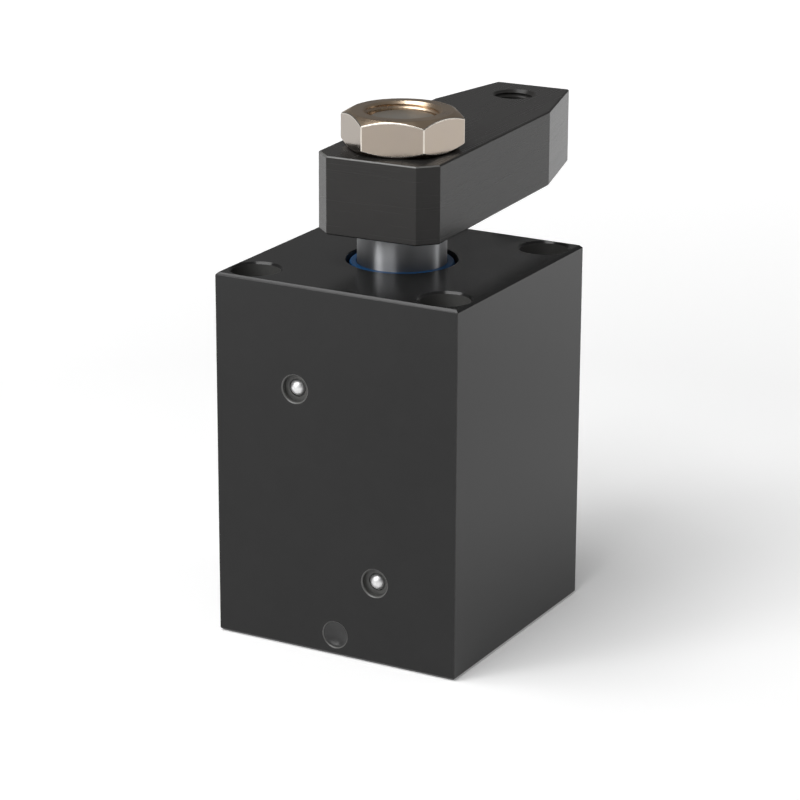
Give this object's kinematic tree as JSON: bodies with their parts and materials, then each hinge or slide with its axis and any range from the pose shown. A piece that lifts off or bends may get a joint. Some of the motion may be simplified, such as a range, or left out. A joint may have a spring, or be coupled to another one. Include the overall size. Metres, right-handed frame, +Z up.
{
  "type": "swing clamp cylinder",
  "caption": "Square block hydraulic swing clamp: a chromed rod lifts and swings a clamp arm held by a hexagon nut, with base ports and corner screw holes.",
  "frame": {"origin": "centre of the base face, on the rod axis", "axes": "+Z up along the rod axis, +Y the way the arm points when clamped, the face with the plugged drillings towards -Y"},
  "size_m": [0.06, 0.1003, 0.1178],
  "materials": {
    "black_oxide_steel": "ground and blackened, satin",
    "chrome_rod": "hard chromed and polished",
    "nickel_nut": "nickel plated, bright",
    "bright_steel": "turned",
    "ball_steel": "polished",
    "spring_steel": "drawn wire",
    "bronze": "turned",
    "blue_polyurethane": "moulded, satin",
    "pale_polyurethane": "moulded, satin",
    "black_rubber": "moulded, matte"
  },
  "bodies": {
    "housing": {"housing_block": "black_oxide_steel", "end_cap": "bright_steel", "end_cap_o_ring": "black_rubber", "cap_lock_pin": "black_oxide_steel", "spring_plug": "bright_steel", "spindle_spring": "spring_steel", "rod_bush": "bronze", "rod_seal": "pale_polyurethane", "rod_wiper": "blue_polyurethane", "upper_plug_ball": "ball_steel", "lower_plug_ball": "ball_steel", "clamp_port_o_ring": "black_rubber", "unclamp_port_o_ring": "black_rubber"},
    "spindle": {"cam_spindle": "bright_steel", "spindle_retaining_ring": "spring_steel"},
    "piston_rings": {"piston_seal_ring": "pale_polyurethane", "piston_energiser": "black_rubber", "piston_wear_ring": "bronze"},
    "rod": {"piston_rod": "chrome_rod", "piston": "bright_steel", "piston_retaining_ring": "spring_steel", "piston_o_ring": "black_rubber", "guide_balls": "ball_steel", "clamp_arm": "black_oxide_steel", "arm_key_pin": "bright_steel", "arm_nut": "nickel_nut"}
  },
  "joints": [
    {"name": "clamp_stroke", "type": "slide", "parent": "housing", "child": "spindle", "axis": [0, 0, 1], "range_m": [0, 0.01], "deforming": ["spindle_spring"]},
    {"name": "swing_lift", "type": "slide", "parent": "spindle", "child": "piston_rings", "axis": [0, 0, 1], "range_m": [0, 0.012]},
    {"name": "swing", "type": "hinge", "parent": "piston_rings", "child": "rod", "pos_m": [0, 0, 0.05], "axis": [0, 0, 1], "range_deg": [0, 90]}
  ],
  "couplings": [
    {"joint": "swing_lift", "follows": "swing", "m_per_rad": 0.0076394}
  ]
}
